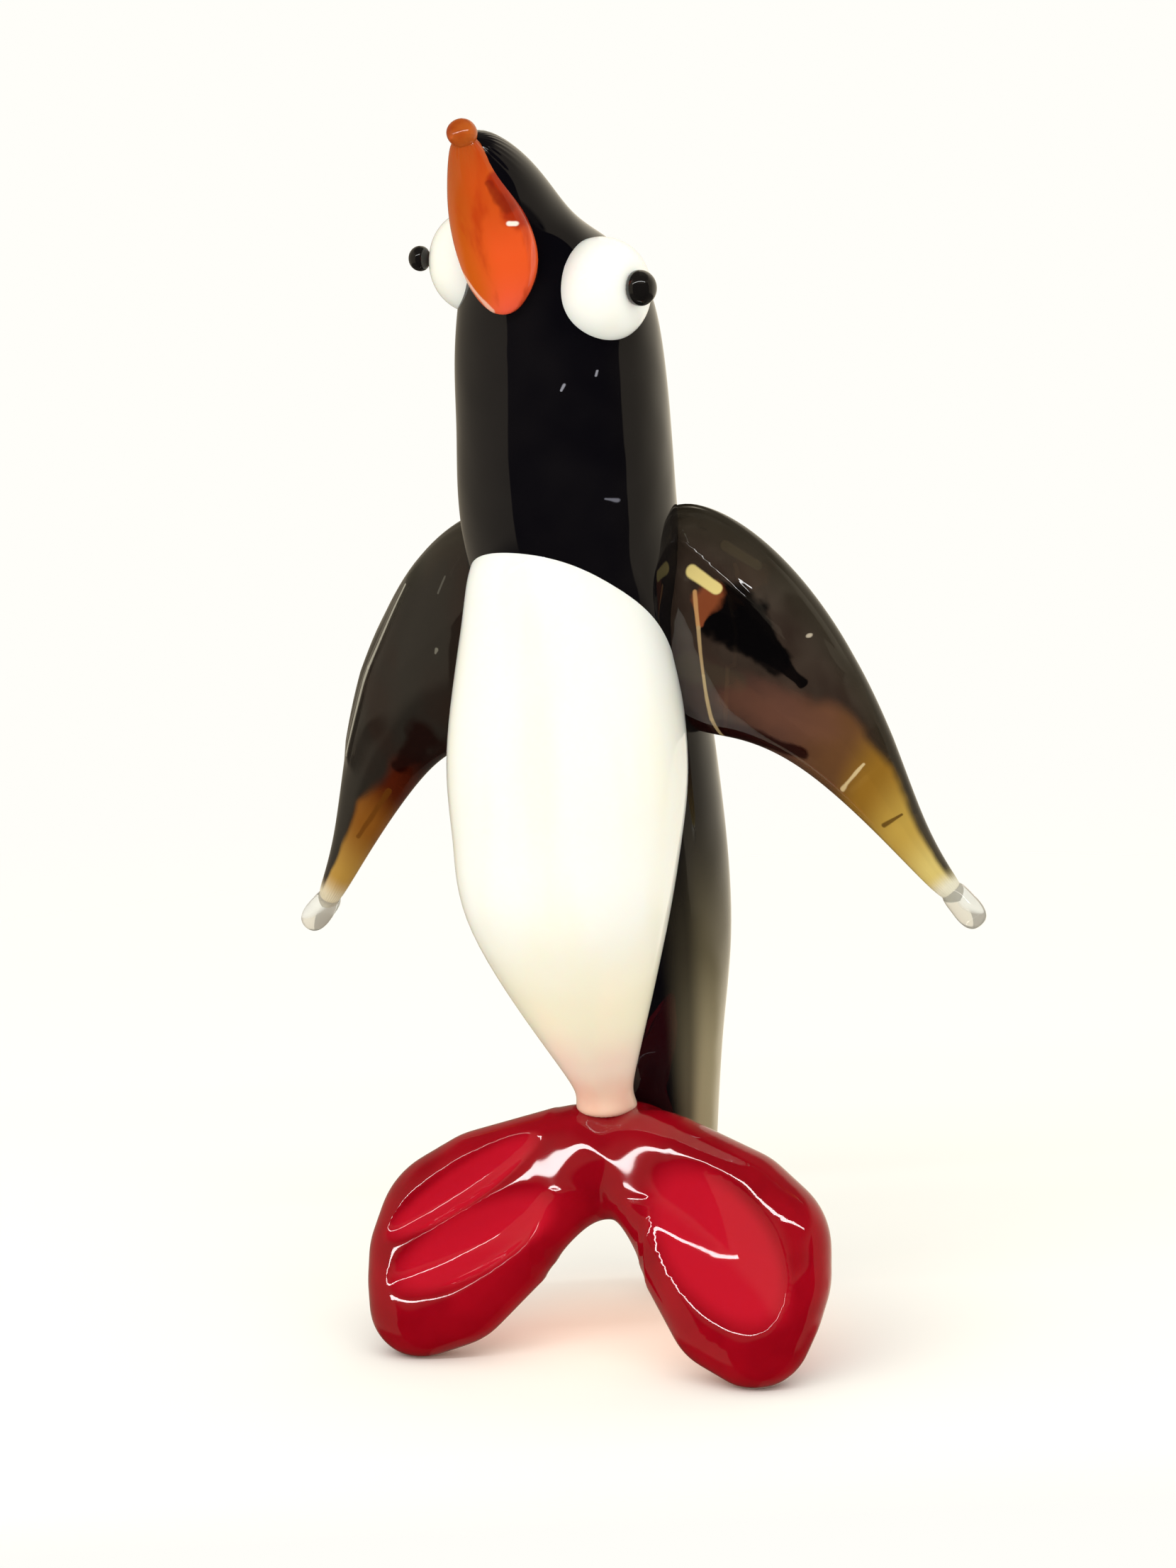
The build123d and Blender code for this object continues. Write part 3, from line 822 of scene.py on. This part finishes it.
barBack, barHeight = feet["barPlace"]
barRings = []
for sideways, diameter in feet["bar"]:
    barRings.append((feet["offset"] + sideways, barBack, barHeight, diameter, diameter, 90))
redFeet = drawGather("feet_glass", barRings, axis="Y")
paddles = []
for side in (1, -1):
    paddle = drawPaddle(side)
    for press in feet["presses"][side]:
        pressPaddle(paddle, side, *press)
    standPaddle(paddle)
    paddles.append(paddle)
pickOnly(redFeet)
for paddle in paddles:
    paddle.select_set(True)
bpy.ops.object.join()
applyModifier(redFeet, "REMESH", mode="VOXEL", voxel_size=feet["voxel"] * mm)
applyModifier(redFeet, "SMOOTH", factor=0.5, iterations=feet["smoothing"])
for low, high, repeat in feet["melts"]:
    meltPart(redFeet, low, high, repeat)
cutFlat(redFeet)
bpy.ops.object.shade_smooth()
addPiece(redFeet, makeRedGlass(), "red_glass", "foot_bar", "left_foot", "right_foot")
print("feet ready")

# Camera at the photograph's place
shot = {
    "azimuth": 26,
    "elevation": 12,
    "roll": 3,
    "distance": 330,
    "nearest": 5,
    "tall": 86.4,  # height of the frame at the figure
    "aim": (0, 0, 34),
    "aside": (0.307, -1.972),  # from the aim to the middle of the frame, rightwards and upwards
}
azimuth, elevation = math.radians(shot["azimuth"]), math.radians(shot["elevation"])


def wayTo(bearing, rise):
    flat = math.cos(rise)
    return Vector((math.sin(bearing) * flat, -math.cos(bearing) * flat, math.sin(rise)))


towards = wayTo(azimuth, elevation)
rightwards = Vector((math.cos(azimuth), math.sin(azimuth), 0))
upwards = towards.cross(rightwards)
aim = placeOf(shot["aim"]) + (rightwards * shot["aside"][0] + upwards * shot["aside"][1]) * mm
cameraData = bpy.data.cameras.new("camera")
cameraData.sensor_fit = "VERTICAL"
cameraData.angle = 2 * math.atan(shot["tall"] / 2 / shot["distance"])
cameraData.clip_start = shot["nearest"] * mm
camera = bpy.data.objects.new("camera", cameraData)
bpy.context.scene.collection.objects.link(camera)
camera.location = aim + towards * shot["distance"] * mm
camera.rotation_euler = towards.to_track_quat("Z", "Y").to_euler()
camera.rotation_euler.rotate_axis("Z", -math.radians(shot["roll"]))
bpy.context.scene.camera = camera

# Pale paper floor, which fades into the white all round and ends near the front
paper = {
    "radius": 160,
    "fade": (50, 155.2),
    "frontFade": (20, 34),
    "colour": (254, 252, 245),
    # light that comes down through the red glass
    "glowPlace": (0.9, 1.5, 0),
    "glowFade": (15, 2),
    "glowStrength": 0.35,
    "glowColour": (255, 190, 140),
}


def fadeBetween(tree, distance, ends, *results):
    return mapRange(tree, distance, ends[0] * mm, ends[1] * mm, *results)


def makePaper():
    material = bpy.data.materials.new("paleFloor")
    material.use_nodes = True
    tree = material.node_tree
    tree.nodes.remove(tree.nodes["Principled BSDF"])
    reach = combineVectors(tree, "LENGTH", objectPlace(tree), (0, 0, 0))["Value"]
    ahead = combineVectors(tree, "DOT_PRODUCT", objectPlace(tree), wayTo(azimuth, 0))["Value"]
    fade = combine(tree, "MAXIMUM", fadeBetween(tree, reach, paper["fade"]),
                   fadeBetween(tree, ahead, paper["frontFade"]))
    sheet = addNode(tree, "BsdfDiffuse", {"Color": shade(*paper["colour"])}).outputs["BSDF"]
    apart = combineVectors(tree, "DISTANCE", objectPlace(tree), placeOf(paper["glowPlace"]))["Value"]
    strength = fadeBetween(tree, apart, paper["glowFade"], 0.0, paper["glowStrength"])
    glow = addNode(tree, "Emission", {"Color": shade(*paper["glowColour"]), "Strength": strength})
    lit = addNode(tree, "AddShader", {0: sheet, 1: glow.outputs["Emission"]}).outputs["Shader"]
    clear = addNode(tree, "BsdfTransparent").outputs["BSDF"]
    mix = addNode(tree, "MixShader", {0: fade, 1: lit, 2: clear}).outputs["Shader"]
    tree.links.new(mix, tree.nodes["Material Output"].inputs["Surface"])
    return material


bpy.ops.object.select_all(action="DESELECT")
bpy.ops.mesh.primitive_circle_add(vertices=96, radius=paper["radius"] * mm, fill_type="NGON",
                                  location=(0, 0, 0))
floor = bpy.context.object
floor.name = "floor"
floor.visible_glossy = False
floor.data.materials.append(makePaper())

# White tent with an open front: bearings in degrees from the camera's, heights as sines
tent = {
    "walls": (255, 254, 249),
    "mirroredWalls": (250, 238, 214),
    "rightWall": {"bearings": (150, 80), "strength": 0.75, "colour": (104, 92, 74)},
    "opening": {"left": (-62.5, -61), "right": (67.5, 66), "top": (0.6, 0.54), "colour": (10, 10, 14)},
    "roof": {"above": (0.55, 0.75), "below": (-0.36, -0.5), "strength": 0.85, "colour": (16, 13, 12)},
}


def turnBetween(tree, bearing, ends, *results):
    return mapRange(tree, bearing, math.radians(ends[0]), math.radians(ends[1]), *results)


def makeTent():
    # white all round, and darker only where the glass mirrors it
    world = bpy.data.worlds.new("tent")
    bpy.context.scene.world = world
    world.use_nodes = True
    tree = world.node_tree
    tree.nodes.clear()
    way = addNode(tree, "TexCoord").outputs["Generated"]
    ahead = combineVectors(tree, "DOT_PRODUCT", way, wayTo(azimuth, 0))["Value"]
    aside = combineVectors(tree, "DOT_PRODUCT", way, rightwards)["Value"]
    bearing = combine(tree, "ARCTAN2", aside, ahead)
    height = addNode(tree, "SeparateXYZ", {"Vector": way}).outputs["Z"]
    mirrored = addNode(tree, "LightPath").outputs["Is Glossy Ray"]
    colour = mixColours(tree, mirrored, shade(*tent["walls"]), shade(*tent["mirroredWalls"]))
    rightWall, opening, roof = tent["rightWall"], tent["opening"], tent["roof"]
    # the right wall is dimmer
    wallShade = turnBetween(tree, bearing, rightWall["bearings"], 0.0, rightWall["strength"])
    wallShade = combine(tree, "MULTIPLY", wallShade, mirrored)
    colour = mixColours(tree, wallShade, colour, shade(*rightWall["colour"]))
    # the opening is dark
    leftEdge = turnBetween(tree, bearing, opening["left"])
    rightEdge = turnBetween(tree, bearing, opening["right"])
    topEdge = mapRange(tree, height, *opening["top"])
    opened = combine(tree, "MULTIPLY", combine(tree, "MULTIPLY", leftEdge, rightEdge), topEdge)
    opened = combine(tree, "MULTIPLY", opened, mirrored)
    colour = mixColours(tree, opened, colour, shade(*opening["colour"]))
    # so are the roof and the table beyond the paper
    above, below = mapRange(tree, height, *roof["above"]), mapRange(tree, height, *roof["below"])
    covered = combine(tree, "MULTIPLY", combine(tree, "MAXIMUM", above, below), mirrored)
    covered = combine(tree, "MULTIPLY", covered, roof["strength"])
    colour = mixColours(tree, covered, colour, shade(*roof["colour"]))
    background = addNode(tree, "Background", {"Color": colour, "Strength": 1.0}).outputs["Background"]
    tree.links.new(background, addNode(tree, "OutputWorld").inputs["Surface"])


makeTent()

# Strip lamp over the open front, more to the left
strip = {
    "elevation": 52,
    "distance": 220,
    "aside": -85,
    "height": 35,
    "length": 430,
    "width": 8,
    "watts": 0.215,
}
stripWay = wayTo(azimuth, math.radians(strip["elevation"]))
lampData = bpy.data.lights.new("stripLamp", "AREA")
lampData.shape = "RECTANGLE"
lampData.size = strip["length"] * mm
lampData.size_y = strip["width"] * mm
lampData.energy = strip["watts"]
lamp = bpy.data.objects.new("stripLamp", lampData)
bpy.context.scene.collection.objects.link(lamp)
stripPlace = Vector((0, 0, strip["height"])) + stripWay * strip["distance"] + rightwards * strip["aside"]
lamp.location = stripPlace * mm
lamp.rotation_euler = stripWay.to_track_quat("Z", "Y").to_euler()
lamp.visible_camera = False
bpy.context.scene.view_settings.view_transform = "Standard"
print("camera and light ready")
